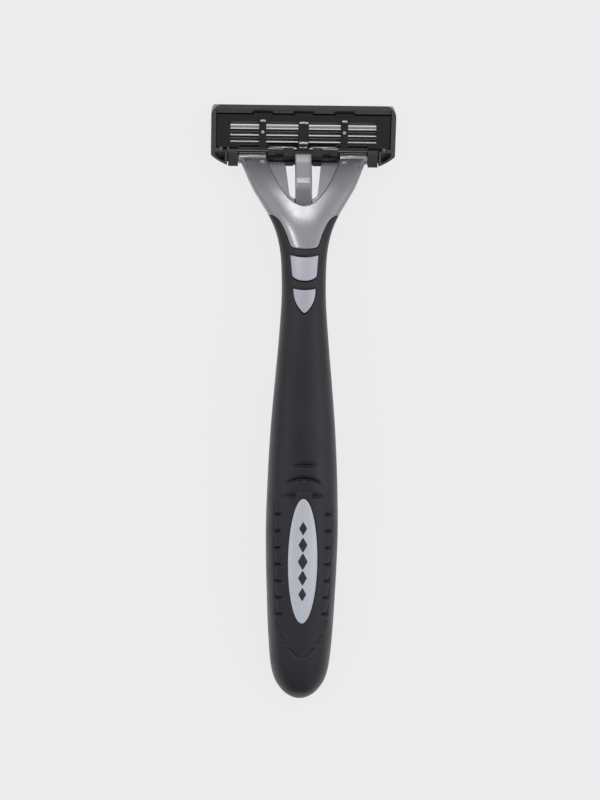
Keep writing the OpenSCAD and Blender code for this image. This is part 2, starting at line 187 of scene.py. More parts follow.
def depth_inside(outline, x, y):
    """Signed distance to a closed outline, positive inside it."""
    p, q = outline, np.roll(outline, -1, axis=0)
    odd = np.zeros(np.shape(x), bool)
    for a, b in zip(p, q):
        if a[1] != b[1]:
            odd ^= ((a[1] > y) != (b[1] > y)) & (x < (b[0] - a[0]) * (y - a[1]) / (b[1] - a[1]) + a[0])
    d = distance(outline, x, y, closed=True)
    return np.where(odd, d, -d)


def rounded(d, radius):
    """How far a surface sinks over a rounded edge, at distance d inside it."""
    return radius - np.sqrt(radius**2 - np.clip(radius - d, 0, radius) ** 2 + TINY)


def lip(d, radius, depth):
    """How far a surface sinks at signed distance d into an opening: a rounded lip, then a wall down to depth."""
    return np.where(d < 0, rounded(-d, radius), radius + smooth(d / LIP_WALL) * (depth - radius))


# ---- Mesh helpers --------------------------------------------------------------------------------
def grid_faces(rows, columns, wrap=False, flip=False, start=0):
    """Quads of a grid of points stored row by row."""
    faces = []
    for i in range(rows - 1):
        for j in range(columns if wrap else columns - 1):
            k = (j + 1) % columns
            a, b = start + i * columns, start + (i + 1) * columns
            quad = (a + j, a + k, b + k, b + j)
            faces.append(quad[::-1] if flip else quad)
    return faces


def disc_faces(rings, count):
    """Faces of a closed disc from its middle point and rings of points: a fan, rows of quads, and a bottom."""
    last = 1 + (rings - 1) * count
    faces = [(0, 1 + j, 1 + (j + 1) % count) for j in range(count)]
    faces += grid_faces(rings, count, wrap=True, flip=True, start=1)
    return faces + [tuple(range(last + count - 1, last - 1, -1))]


def piece(name, points, faces, material, body):
    """A smooth mesh object from points in millimetres, riding on a body."""
    mesh = bpy.data.meshes.new(name)
    mesh.from_pydata((np.asarray(points, float) * MM).tolist(), [], faces)
    mesh.validate()
    mesh.polygons.foreach_set("use_smooth", [True] * len(mesh.polygons))
    mesh.materials.append(material)
    made = bpy.data.objects.new(name, mesh)
    bpy.context.scene.collection.objects.link(made)
    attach(made, body)
    return made


def normals_of(grid):
    """Unit normals of a grid of points, rows by columns by 3, whose columns close in a ring."""
    n = np.cross(np.roll(grid, -1, axis=1) - np.roll(grid, 1, axis=1), np.gradient(grid, axis=0))
    return n / np.maximum(np.linalg.norm(n, axis=2, keepdims=True), 1e-9)


# ---- Materials -----------------------------------------------------------------------------------
class Look:
    """A procedural material: a Principled shader with textures in the object's own millimetres."""

    def __init__(self, name, colour, **settings):
        self.material = bpy.data.materials.new(name)
        self.material.use_nodes = True
        self.tree = self.material.node_tree
        self.shader = self.tree.nodes["Principled BSDF"]
        self.shader.inputs["Base Color"].default_value = (*colour, 1)
        for key, value in settings.items():
            self.shader.inputs[key.replace("_", " ")].default_value = value
        self.place = self.tree.nodes.new("ShaderNodeTexCoord").outputs["Object"]

    def node(self, kind, **settings):
        made = self.tree.nodes.new(kind)
        for key, value in settings.items():
            setattr(made, key, value)
        return made

    def stretched(self, scale):
        """The object's coordinates in millimetres, times scale along each axis."""
        mapping = self.node("ShaderNodeMapping")
        self.tree.links.new(self.place, mapping.inputs["Vector"])
        mapping.inputs["Scale"].default_value = [k / MM for k in scale]
        return mapping.outputs["Vector"]

    def noise(self, scale, detail):
        """Noise with `scale` cells per millimetre along X, Y and Z."""
        made = self.node("ShaderNodeTexNoise")
        self.tree.links.new(self.stretched(scale), made.inputs["Vector"])
        made.inputs["Scale"].default_value = 1.0
        made.inputs["Detail"].default_value = detail
        made.inputs["Roughness"].default_value = 0.55
        return made.outputs["Fac"]

    def cells(self, scale):
        """The distance to the nearest of scattered points, `scale` of them per millimetre."""
        made = self.node("ShaderNodeTexVoronoi")
        self.tree.links.new(self.stretched((scale, scale, scale)), made.inputs["Vector"])
        made.inputs["Scale"].default_value = 1.0
        return made.outputs["Distance"]

    def ramp(self, factor, low, high, at_low=0.0, at_high=1.0):
        """The factor from at_low to at_high, turned into values or colours from low to high."""
        if np.ndim(low):
            made = self.node("ShaderNodeValToRGB")
            made.color_ramp.elements[0].position, made.color_ramp.elements[1].position = at_low, at_high
            made.color_ramp.elements[0].color, made.color_ramp.elements[1].color = (*low, 1), (*high, 1)
            self.tree.links.new(factor, made.inputs["Fac"])
            return made.outputs["Color"]
        made = self.node("ShaderNodeMapRange")
        self.tree.links.new(factor, made.inputs["Value"])
        for key, value in zip(("From Min", "From Max", "To Min", "To Max"), (at_low, at_high, low, high)):
            made.inputs[key].default_value = value
        return made.outputs["Result"]

    def along(self, direction):
        """The distance in millimetres from the frame's origin along a direction."""
        made = self.node("ShaderNodeVectorMath", operation="DOT_PRODUCT")
        self.tree.links.new(self.place, made.inputs[0])
        made.inputs[1].default_value = [k / MM for k in direction]
        return made.outputs["Value"]

    def mix(self, factor, first, second):
        """A colour between two, each a colour or a socket."""
        made = self.node("ShaderNodeMix", data_type="RGBA")
        self.tree.links.new(factor, made.inputs[0])
        for socket, value in zip((made.inputs[6], made.inputs[7]), (first, second)):
            if np.ndim(value):
                socket.default_value = (*value, 1)
            else:
                self.tree.links.new(value, socket)
        return made.outputs[2]

    def drive(self, name, socket):
        self.tree.links.new(socket, self.shader.inputs[name])

    def bump(self, *layers):
        """Bumps one on another, each a height socket and its depth in millimetres."""
        below = None
        for height, depth in layers:
            made = self.node("ShaderNodeBump")
            made.inputs["Distance"].default_value = depth * MM
            self.tree.links.new(height, made.inputs["Height"])
            if below is not None:
                self.tree.links.new(below, made.inputs["Normal"])
            below = made.outputs["Normal"]
        self.drive("Normal", below)


def rubber_look():
    """Matt dark elastomer, finely grained, with dust-like specks and faint shiny patches."""
    look = Look("grip_rubber", (0.010, 0.009, 0.014), Roughness=0.38, Specular_IOR_Level=0.5)
    tone = look.ramp(look.noise((0.12, 0.06, 0.12), 4), (0.007, 0.006, 0.011), (0.014, 0.012, 0.019), 0.3, 0.7)
    specks = look.ramp(look.cells(1.6), 1.0, 0.0, 0.04, 0.13)
    look.drive("Base Color", look.mix(specks, tone, (0.04, 0.04, 0.047)))
    look.drive("Roughness", look.ramp(look.noise((0.25, 0.15, 0.25), 5), 0.32, 0.44, 0.3, 0.7))
    look.bump((look.noise((5, 5, 5), 3), 0.035), (look.cells(2.6), 0.02))
    return look.material


def pewter_look():
    """Glossy metallic-painted plastic: fine flakes under a clear coat, with slow ripples from moulding."""
    look = Look("pewter_plastic", (0.33, 0.32, 0.34), Metallic=0.8, Roughness=0.25, Coat_Weight=0.4,
                Coat_Roughness=0.12)
    flakes = look.ramp(look.noise((14, 14, 14), 2), (0.29, 0.28, 0.30), (0.36, 0.35, 0.37), 0.35, 0.65)
    look.drive("Base Color", flakes)
    look.drive("Roughness", look.ramp(look.noise((0.3, 0.3, 0.3), 4), 0.23, 0.28, 0.3, 0.7))
    look.bump((look.noise((0.3, 0.3, 0.3), 0), 0.003))
    return look.material


def pad_look():
    """The same paint on the two small pads, cooler and flatter."""
    look = Look("pad_paint", (0.5, 0.5, 0.56), Metallic=0.7, Roughness=0.4, Coat_Weight=0.25, Coat_Roughness=0.2)
    flakes = look.ramp(look.noise((14, 14, 14), 2), (0.46, 0.46, 0.52), (0.54, 0.54, 0.60), 0.35, 0.65)
    look.drive("Base Color", flakes)
    look.drive("Roughness", look.ramp(look.noise((0.4, 0.4, 0.4), 4), 0.34, 0.46, 0.3, 0.7))
    look.bump((look.noise((0.6, 0.6, 0.6), 2), 0.005))
    return look.material


def emblem_look():
    """Satin silver-blue metal brushed along its length."""
    look = Look("emblem_metal", (0.62, 0.65, 0.7), Metallic=0.4, Roughness=0.36)
    brushed = look.noise((9, 0.35, 9), 4)
    look.drive("Base Color", look.ramp(brushed, (0.58, 0.61, 0.66), (0.66, 0.69, 0.74), 0.3, 0.7))
    look.drive("Roughness", look.ramp(brushed, 0.3, 0.44, 0.3, 0.7))
    look.bump((brushed, 0.002))
    return look.material


def black_look(name, base, shine, rough=0.32):
    """Black moulded plastic with flow marks and fine dust: how grey it is, how much it mirrors, and how blurred."""
    look = Look(name, (base, base * 0.9, base), Roughness=rough, Specular_IOR_Level=shine)
    flow = look.noise((0.35, 1.4, 1.4), 4)
    low, high = base * 0.7, base * 1.35
    tone = look.ramp(flow, (low, low * 0.85, low), (high, high * 0.9, high), 0.3, 0.7)
    dust = look.ramp(look.cells(2.2), 1.0, 0.0, 0.03, 0.09)
    look.drive("Base Color", look.mix(dust, tone, (0.05, 0.05, 0.053)))
    look.drive("Roughness", look.ramp(flow, rough * 0.75, rough * 1.25, 0.3, 0.7))
    look.bump((look.noise((6, 6, 6), 2), 0.006), (look.noise((0.6, 0.6, 0.6), 2), 0.02))
    return look.material


def steel_look(name, tone, rough):
    """Bright strip steel, ground along its length."""
    look = Look(name, (tone, tone, tone), Metallic=1.0, Roughness=rough)
    ground = look.noise((0.25, 12, 12), 4)
    look.drive("Base Color", look.ramp(ground, (tone - 0.08,) * 3, (tone + 0.05,) * 3, 0.3, 0.7))
    look.drive("Roughness", look.ramp(ground, rough - 0.06, rough + 0.08, 0.3, 0.7))
    look.bump((ground, 0.0003))
    return look.material


def support_look():
    """The blade supports: bright edges, and legs with painted shade that darkens them down towards the lather
    channels between them.
    """
    look = Look("support_steel", (0.7, 0.7, 0.72), Metallic=1.0, Roughness=0.25)
    ground = look.noise((0.25, 12, 12), 4)
    bright = look.ramp(ground, (0.84, 0.84, 0.86), (0.95, 0.95, 0.97), 0.3, 0.7)
    tilt = math.radians(CART_TILT)
    depth = look.along((0, -math.sin(tilt), math.cos(tilt)))
    back = math.cos(tilt) * PIVOT_Z - math.sin(tilt) * PIVOT_Y
    # Painted shade: the legs fade from bright steel near the cartridge's back to dark grey deeper in, where shade
    # falls between the blades
    painted_shade_fade = look.ramp(depth, 0.0, 1.0, back - 1.8, back + 0.3)
    look.drive("Base Color", look.mix(painted_shade_fade, (0.25, 0.25, 0.255), bright))
    look.drive("Roughness", look.ramp(ground, 0.2, 0.34, 0.3, 0.7))
    look.bump((ground, 0.0003))
    return look.material


def strip_look():
    """Pale blue-green lubricating polymer, cloudy and slightly waxy."""
    look = Look("strip_polymer", (0.5, 0.74, 0.68), Roughness=0.45, Subsurface_Weight=0.15)
    cloud = look.noise((0.8, 0.8, 0.8), 5)
    look.drive("Base Color", look.ramp(cloud, (0.42, 0.66, 0.60), (0.60, 0.82, 0.76), 0.3, 0.7))
    look.drive("Roughness", look.ramp(cloud, 0.35, 0.55, 0.3, 0.7))
    look.bump((look.noise((3, 3, 3), 3), 0.02))
    return look.material


def fin_look():
    """Soft charcoal rubber of the guard fins."""
    look = Look("fin_rubber", (0.03, 0.03, 0.034), Roughness=0.6)
    grain = look.noise((4, 4, 4), 3)
    look.drive("Base Color", look.ramp(grain, (0.022, 0.022, 0.026), (0.042, 0.042, 0.048), 0.3, 0.7))
    look.drive("Roughness", look.ramp(grain, 0.5, 0.7, 0.3, 0.7))
    look.bump((grain, 0.015))
    return look.material


RUBBER = rubber_look()
PEWTER = pewter_look()
PAD = pad_look()
EMBLEM = emblem_look()
BLACK = black_look("black_plastic", 0.014, 0.6)
# The housing's black is a lighter, shinier copy of the same plastic: painted light for the bright band along its top
# rim
BLACK_LIT_RIM = black_look("black_rim_lit", 0.03, 0.8)
BLACK_GRID = black_look("black_grid", 0.01, 0.36)
STEEL = steel_look("blade_steel", 0.78, 0.2)
CATCH = steel_look("catch_steel", 0.5, 0.24)
SUPPORT = support_look()
STRIP = strip_look()
FINS = fin_look()


# ---- Rubber grip -----------------------------------------------------------------------------------
LIP = 0.28
THROAT_DEPTH = 1.0
WINDOW_DEPTH = 1.2
WINDOW_FILLET = 0.45
WINDOWS = [filleted(mirrored(outline), WINDOW_FILLET) for outline in (BOX_WINDOW, SHIELD_WINDOW)]
# The throat's outline, and the whole area that it bounds, run on past the head
THROAT_FILLET = 0.8
THROAT_LINE = filleted(THROAT, THROAT_FILLET, closed=False)
THROAT_AREA = np.vstack([THROAT_LINE, [[30, RUBBER_END], [30, 70], [-30, 70], [-30, RUBBER_END]],
                         THROAT_LINE[:0:-1] * [-1, 1]])

# Thumb grooves: the height of the sharp lower edge, its half width, how far its ends droop, and its length
THUMB = [[-14.8, 2.97, 0.0, 2.2], [-17.8, 4.3, 0.95, 1.6], [-21.7, 4.9, 0.0, 2.1]]
THUMB_DEPTH = 1.05
THUMB_WALL = 0.24
# The raised crest on the tail side of each groove: its height, distance from the edge, and half width
CREST, CREST_OFF, CREST_HALF = 0.3, 0.4, 0.3
# The panels beside the emblem: where the first begins, their pitch and number, and how deep their marks are
SCALE_TOP = -22.2
SCALE_STEP = 3.8
SCALES = 7
SCALE_DEPTH = 0.85
SCALE_WALL = 0.22
MARK_LENGTH = 1.9
MARK_START = 0.72
PANEL_DEPTH = 0.16
PANEL_WIDTH = 3.0
# The line round the panels: its distance from the grip's side, its depth, and half its width
BORDER_IN = 1.45
BORDER_DEPTH = 0.3
BORDER_HALF = 0.35
# The last strokes of that line, on the right side, and their depth and half width
DASH_DEPTH = 0.35
DASH_HALF = 0.42
TAIL_DASHES = [[[5.55, -50.0], [5.15, -51.9]], [[4.55, -53.2], [3.65, -55.1]], [[2.75, -56.4], [0.9, -58.3]]]


def thumb_grooves(x, y):
    """Crescents that ramp down from the head and end in a sharp raised edge towards the tail."""
    sunk = np.zeros_like(x)
    for edge, half, droop, length in THUMB:
        across = np.clip(1 - (x / half) ** 2, 0, 1)
        up = y - edge + droop * (x / half) ** 2
        reach = length * np.sqrt(across) + 1e-6
        ramp = np.clip(1 - up / reach, 0, 1) ** 1.5 * smooth(up / THUMB_WALL + 0.5)
        crest = CREST * np.exp(-((up + CREST_OFF) / CREST_HALF) ** 2)
        sunk += (THUMB_DEPTH * across**0.6 * ramp - crest * across) * (np.abs(x) < half)
    return sunk


def side_scales(x, y):
    """Seven overlapping panels on each side, each sinking towards the tail and the grip's edge."""
    half = section(y)[0]
    border = half - BORDER_IN
    count = (SCALE_TOP - y) / SCALE_STEP
    part = count - np.floor(count)
    on = (count > 0) & (count < SCALES)
    wall = smooth((1 - part) * SCALE_STEP / SCALE_WALL)
    inner = smooth((np.abs(x) - border + MARK_LENGTH) / 0.6)
    outer = smooth((border - np.abs(x)) / 0.25)
    mark = SCALE_DEPTH * np.clip((part - MARK_START) / (1 - MARK_START), 0, 1) ** 1.2 * inner
    panel = PANEL_DEPTH * part * smooth((np.abs(x) - border + PANEL_WIDTH) / 1.4)
    edge = BORDER_DEPTH * part**1.5 * smooth(1 - np.abs(np.abs(x) - border + 0.3) / BORDER_HALF)
    return np.where(on, (np.maximum(mark, edge) + panel) * wall * outer, 0)


def tail_dashes(x, y):
    """The border's last strokes, which close in a U towards the tail."""
    sunk = np.zeros_like(x)
    for line in TAIL_DASHES:
        d = distance(line, np.abs(x), y)
        sunk += DASH_DEPTH * smooth((DASH_HALF - d) / 0.4)
    return sunk


# The rubber round the emblem: a low raised collar, wider and higher towards the head, and the socket's lip
COLLAR_WIDTH = [0.45, 1.3]
COLLAR_HEIGHT = [0.1, 0.3]
SOCKET_OUT = 0.1
SOCKET_LIP = 0.25
SOCKET_DEPTH = 0.7


def emblem_distance(x, y):
    """Signed distance outside the emblem's oval."""
    a, b = EMBLEM_W / 2, EMBLEM_L / 2
    u, v = x / a, (y - EMBLEM_Y) / b
    f = np.sqrt(u * u + v * v) + 1e-9
    return (f - 1) * f / (np.sqrt((u / a) ** 2 + (v / b) ** 2) + 1e-9)


def rubber_depth(x, y):
    """How far the rubber's front is sunk below the plain form."""
    around = emblem_distance(x, y)
    up = smooth((y - EMBLEM_Y - 0.5 * EMBLEM_L / 2) / (0.45 * EMBLEM_L / 2))
    width, height = ((1 - up) * low + up * high for low, high in (COLLAR_WIDTH, COLLAR_HEIGHT))
    collar = smooth((width - around) / 0.3)
    outside = thumb_grooves(x, y) + side_scales(x, y) + tail_dashes(x, y)
    sunk = outside * (1 - collar) - height * collar + lip(SOCKET_OUT - around, SOCKET_LIP, SOCKET_DEPTH)
    for outline in WINDOWS:
        sunk += lip(depth_inside(outline, x, y), LIP, WINDOW_DEPTH)
    return sunk + lip(depth_inside(THROAT_AREA, x, y), LIP, THROAT_DEPTH)


GRIP_END_ROUND = 0.3
# Rows of the skin as [from, to, step], closest where it is carved
GRIP_ROWS = [[TAIL_Y + TAIL_ROUND, -61, 0.35], [-61, -12, 0.19], [-12, 19, 0.6], [19, 34.8, 0.17],
             [34.8, 36.2, 0.1], [36.2, RUBBER_END - GRIP_END_ROUND, 0.17]]
# How far the skin's end is drawn in behind its rounded rim, across and in height
GRIP_END_IN = [0.8, 1, 0.7]
# Points along half a section: how many lie on its front's share of the length, and how many on the rest
FRONT_SHARE = 0.56
FRONT_COLUMNS = 84
REAR_COLUMNS = 22


def rubber_grip():
    """One closed skin from the tail to the throat, fine enough for its grooves and lips."""
    tail = TAIL_Y + TAIL_ROUND * np.linspace(0.02, 1, 9)[:-1] ** 2
    end = RUBBER_END - GRIP_END_ROUND + GRIP_END_ROUND * np.sin(np.linspace(0, math.pi / 2, 6))
    rows = np.concatenate([tail] + [np.arange(*r) for r in GRIP_ROWS] + [end])
    rows = rows[np.diff(rows, prepend=TAIL_Y - 1) > 0.01]
    share = np.concatenate([np.linspace(0, FRONT_SHARE, FRONT_COLUMNS),
                            np.linspace(FRONT_SHARE, 1, REAR_COLUMNS + 1)[1:]])
    grid = []
    for y in rows:
        x, z, along = half_ring(y)
        px, pz = np.interp(share * along[-1], along, x), np.interp(share * along[-1], along, z)
        grid.append([[a, y, b] for a, b in zip(px, pz)] + [[-a, y, b] for a, b in zip(px[-2:0:-1], pz[-2:0:-1])])
    grid = np.array(grid)
    x, y, z = grid[..., 0], grid[..., 1], grid[..., 2]
    normal = normals_of(grid)
    sunk = rubber_depth(x, y)
    rear_side = z < section(y)[2]
    sunk = np.where(rear_side, lip(depth_inside(THROAT_AREA, x, y), LIP, THROAT_DEPTH), sunk)
    turned = rounded(RUBBER_END - y, GRIP_END_ROUND)
    grid = grid - normal * np.maximum(sunk, turned)[..., None]
    columns = grid.shape[1]
    middle = np.array([0, RUBBER_END, section(RUBBER_END)[2]])
    inner = middle + (grid[-1] - middle) * GRIP_END_IN
    points = np.vstack([grid.reshape(-1, 3), inner, [[0, TAIL_Y, section(TAIL_Y)[2]]]])
    count = len(rows) * columns
    faces = grid_faces(len(rows) + 1, columns, wrap=True)
    faces += [(len(points) - 1, (j + 1) % columns, j) for j in range(columns)]
    faces.append(tuple(range(count, count + columns)))
    made = piece("grip_skin", points, faces, RUBBER, "handle")
    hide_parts("rubber_grip")


# ---- Pewter cover of the fork ---------------------------------------------------------------------
# Distances from an edge at which rows lie, for a smooth rounding
EDGE_STEPS = np.array([0, 0.03, 0.08, 0.15, 0.24, 0.36])
COVER_EDGE = 0.26
COVER_WALL = 1.1
ARM_FILLET = 0.5
ARM_TOP = ARM_END[0][1]
ARM_TIP = ARM_END[-1][1]
# The corner of the throat's outline, and how fast the seam between the cover's two patches leans out from it
CORNER_X = THROAT[-1][0]
SEAM_LEAN = 1.1
# Rows of the cover as [from, to, step], besides those that follow its edges
COVER_ROWS = [[35.4, 41.8, 0.2], [41.8, RUBBER_END, 0.08], [42.9, U_BOTTOM - 0.4, 0.2]]
# The small raised block at each arm's tip: place, half sizes and height
BOSS_X, BOSS_Y, BOSS_W, BOSS_L, BOSS_H = 9.45, 55.3, 0.62, 0.42, 0.28


def spaced(length, middle, far=True):
    """Places along a line: close together near its start and, if far, its end; even between."""
    near = EDGE_STEPS * min(1, length / 3 / EDGE_STEPS[-1])
    if not far:
        return np.concatenate([near, np.linspace(near[-1], length, middle)[1:]])
    between = np.linspace(near[-1], length - near[-1], middle)[1:-1]
    return np.concatenate([near, between, length - near[::-1]])


def form_level(x, y, z):
    """1 on the handle's plain form, less inside it and more outside."""
    half, thick, mid, e = section(y)
    return (np.abs(x) / half) ** e + (np.abs(z - mid) / thick) ** e


def form_normal(x, y, z):
    """Unit normals of the plain form at places on it."""
    h = 0.01
    n = np.stack([form_level(x + h, y, z) - form_level(x - h, y, z),
                  form_level(x, y + h, z) - form_level(x, y - h, z),
                  form_level(x, y, z + h) - form_level(x, y, z - h)], axis=-1)
    return n / np.linalg.norm(n, axis=-1, keepdims=True)


def shell(name, outer, inner, faces, material, body):
    """A closed piece from an outer skin and its inner copy, walled off along every open edge of the skin."""
    _, first, index = np.unique(np.round(outer, 3), axis=0, return_index=True, return_inverse=True)
    index = index.reshape(-1)
    skin = []
    for face in faces:
        ring = [k for i, k in enumerate(index[list(face)]) if k != index[face[i - 1]]]
        if len(set(ring)) == len(ring) > 2:
            skin.append(tuple(ring))
    edges = {(f[i - 1], f[i]) for f in skin for i in range(len(f))}
    size = len(first)
    walls = [(b, a, a + size, b + size) for a, b in sorted(edges) if (b, a) not in edges]
    back = [tuple(k + size for k in reversed(f)) for f in skin]
    return piece(name, np.vstack([outer[first], inner[first]]), skin + back + walls, material, body)


def fork_cover():
    """The front shell of the fork: throat, shoulders and two arms, with rounded edges all round."""
    throat = THROAT_LINE[THROAT_LINE[:, 1] < RUBBER_END]
    edge_x = np.concatenate([np.arange(0.1, 8.3, 0.1), [8.35, 8.4, 8.45, 8.5]])
    rows = [throat[:, 1] + 0.005, throat[0, 1] + EDGE_STEPS, RUBBER_END + EDGE_STEPS, U_BOTTOM - EDGE_STEPS,
            U_BOTTOM + U_RISE * edge_x**2, ARM_TOP - EDGE_STEPS[1:], ARM_TOP + EDGE_STEPS[1:], ARM_TIP - EDGE_STEPS]
    rows = np.unique(np.round(np.concatenate(rows + [np.arange(*r) for r in COVER_ROWS]), 3))
    arm = filleted(ARM_END, ARM_FILLET, closed=False)
    patches = [[], []]
    for y in rows:
        x, z, along = half_ring(y)
        start = np.interp(min(math.sqrt(max(y - U_BOTTOM, 0) / U_RISE), ARM_IN), x[:RING_FRONT], along[:RING_FRONT])
        if y < RUBBER_END:
            stop = np.interp(np.interp(y, throat[:, 1], throat[:, 0]) - 0.05, x[:RING_FRONT], along[:RING_FRONT])
            patches[0].append((y, start + spaced(max(stop - start, 0.02), 30), x, z, along))
            continue
        if y > ARM_TOP:
            stop = np.interp(np.interp(y, arm[:, 1], arm[:, 0]), x[:RING_FRONT], along[:RING_FRONT])
        else:
            stop = np.interp(-np.interp(y, SPLIT[:, 0], SPLIT[:, 1]), -z, along)
        bend = np.interp(CORNER_X - 0.05 + SEAM_LEAN * (y - RUBBER_END), x[:RING_FRONT], along[:RING_FRONT])
        bend = start + np.clip(bend - start, 0.3 * (stop - start), 0.7 * (stop - start))
        patches[0].append((y, start + spaced(bend - start, 35, far=False), x, z, along))
        patches[1].append((y, stop - spaced(stop - bend, 22, far=False)[::-1], x, z, along))
    u_line = [[s, U_BOTTOM + U_RISE * s * s] for s in np.arange(0, 8.6, 0.1)] + [[ARM_IN, 60]]
    outer, inner, faces = [], [], []
    for lines in patches:
        grid = np.array([np.stack([np.interp(at, along, x), np.full(len(at), y), np.interp(at, along, z)], axis=1)
                         for y, at, x, z, along in lines])
        x, y, z = grid[..., 0], grid[..., 1], grid[..., 2]
        edges = np.minimum(distance(u_line, x, y), distance(np.vstack([arm, [[ARM_IN - 1, 56.15]]]), x, y))
        edges = np.minimum(edges, distance(THROAT_LINE, x, y))
        shoulder = (y > RUBBER_END - 0.001) & (x > CORNER_X - 0.1)
        edges = np.where(shoulder, np.minimum(edges, np.abs(y - RUBBER_END)), edges)
        split = np.abs(z - np.interp(y, SPLIT[:, 0], SPLIT[:, 1]))
        edges = np.where(y < RUBBER_END, edges, np.minimum(edges, split))
        boss = smooth((BOSS_W - np.abs(x - BOSS_X)) / 0.25) * smooth((BOSS_L - np.abs(y - BOSS_Y)) / 0.25)
        skin = grid - form_normal(x, y, z) * (rounded(edges, COVER_EDGE) - BOSS_H * boss)[..., None]
        half, thick, mid, _ = section(y)
        clear = np.where(y > U_BOTTOM, np.minimum(np.sqrt(np.maximum(y - U_BOTTOM, 0) / U_RISE), ARM_IN), 0)
        deep = np.stack([np.maximum(x * (1 - COVER_WALL / half), np.minimum(x, clear)), y,
                         mid + (z - mid) * (1 - COVER_WALL / thick)], axis=2)
        deep[..., 2] = np.minimum(deep[..., 2], skin[..., 2] - 0.2)
        for side in (1, -1):
            faces += grid_faces(*grid.shape[:2], flip=side < 0, start=sum(len(o) for o in outer))
            outer.append((skin * [side, 1, 1]).reshape(-1, 3))
            inner.append((deep * [side, 1, 1]).reshape(-1, 3))
    made = shell("fork_cover", np.vstack(outer), np.vstack(inner), faces, PEWTER, "handle")
    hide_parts("handle_core_front")


def plate(outline, gap, lift, radius, drops, count=120):
    """A thin crowned plate that follows the handle's front: points and faces, from its middle out and down."""
    line = resampled(outline, count)
    middle = (line.max(axis=0) + line.min(axis=0)) / 2
    across = line - middle
    shrink = 1 - gap / np.linalg.norm(across, axis=1)
    shares = np.concatenate([np.linspace(0.05, 0.8, 10), np.linspace(0.83, 1, 10)])
    rings = [(s, 0) for s in shares] + [(1, d) for d in drops]
    points = [[middle[0], middle[1], front_z(*middle) + lift]]
    for share, drop in rings:
        p = middle + across * (shrink * share)[:, None]
        d = np.maximum(depth_inside(outline, p[:, 0], p[:, 1]) - gap, 0)
        z = front_z(p[:, 0], p[:, 1]) + lift - rounded(d, radius) - drop
        points += np.stack([p[:, 0], p[:, 1], z], axis=1).tolist()
    return points, disc_faces(len(rings), count)


# A pad: the gap round it, how far its front is below the plain form, its rounded edge, and its wall's rows
PAD_GAP = 0.14
PAD_SUNK = 0.22
PAD_EDGE = 0.22
PAD_DROPS = (0.5, 0.9)


def pad(name, outline):
    """A crowned pad in its window, a little below the rubber round it."""
    points, faces = plate(outline, PAD_GAP, -PAD_SUNK, PAD_EDGE, PAD_DROPS)
    piece(name, points, faces, PAD, "handle")


# The emblem: the gap round it, how far it stands out, its rounded rim, and the line engraved inside the rim
EMBLEM_GAP = 0.06
EMBLEM_LIFT = 0.02
EMBLEM_EDGE = 0.2
LINE_IN = 0.42
LINE_HALF = 0.1
LINE_DEPTH = 0.05
EMBLEM_POINTS = 160


def emblem():
    """The oval plate: slightly crowned, with a rounded rim and a fine engraved line inside it."""
    shares = np.concatenate([np.linspace(0.04, 0.86, 16), np.linspace(0.87, 1, 16)])
    rings = [(s, 0) for s in shares] + [(1, 0.35), (1, 0.6)]
    theta = np.arange(EMBLEM_POINTS) * 2 * math.pi / EMBLEM_POINTS
    a, b = EMBLEM_W / 2 - EMBLEM_GAP, EMBLEM_L / 2 - EMBLEM_GAP
    points = [[0, EMBLEM_Y, front_z(0, EMBLEM_Y) + EMBLEM_LIFT]]
    for share, drop in rings:
        x, y = a * share * np.cos(theta), EMBLEM_Y + b * share * np.sin(theta)
        d = -emblem_distance(x, y) - EMBLEM_GAP
        sunk = rounded(d, EMBLEM_EDGE) + LINE_DEPTH * smooth(1 - np.abs(d - LINE_IN) / LINE_HALF)
        points += np.stack([x, y, front_z(x, y) + EMBLEM_LIFT - sunk - drop], axis=1).tolist()
    faces = disc_faces(len(rings), EMBLEM_POINTS)
    made = piece("emblem_oval", points, faces, EMBLEM, "handle")
    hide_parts("emblem_plate")


# A plain ornament on the emblem: a row of dark lozenges, the middle one of these half sizes, the rest smaller
LOZENGE_STEP = 3.75
LOZENGE = [1.15, 2.0]
LOZENGE_SHRINK = 0.1
LOZENGE_FILLET = 0.25
PRINT_LIFT = 0.035
PRINT_EDGE = 0.02
PRINT_DROPS = (0.03,)


def emblem_print():
    """Five thin printed lozenges down the middle of the emblem."""
    points, faces = [], []
    for k in range(-2, 3):
        size = 1 - LOZENGE_SHRINK * abs(k)
        w, h, y = LOZENGE[0] * size, LOZENGE[1] * size, EMBLEM_Y + k * LOZENGE_STEP
        outline = filleted([[0, y - h], [w, y], [0, y + h], [-w, y]], LOZENGE_FILLET)
        more, rings = plate(outline, 0, PRINT_LIFT, PRINT_EDGE, PRINT_DROPS, count=48)
        faces += [tuple(i + len(points) for i in f) for f in rings]
        points += more
    piece("emblem_print", points, faces, BLACK, "handle")


# ---- CAD nodes that stay -------------------------------------------------------------------------
SHARP = math.radians(32)
FLAT = math.radians(1.5)


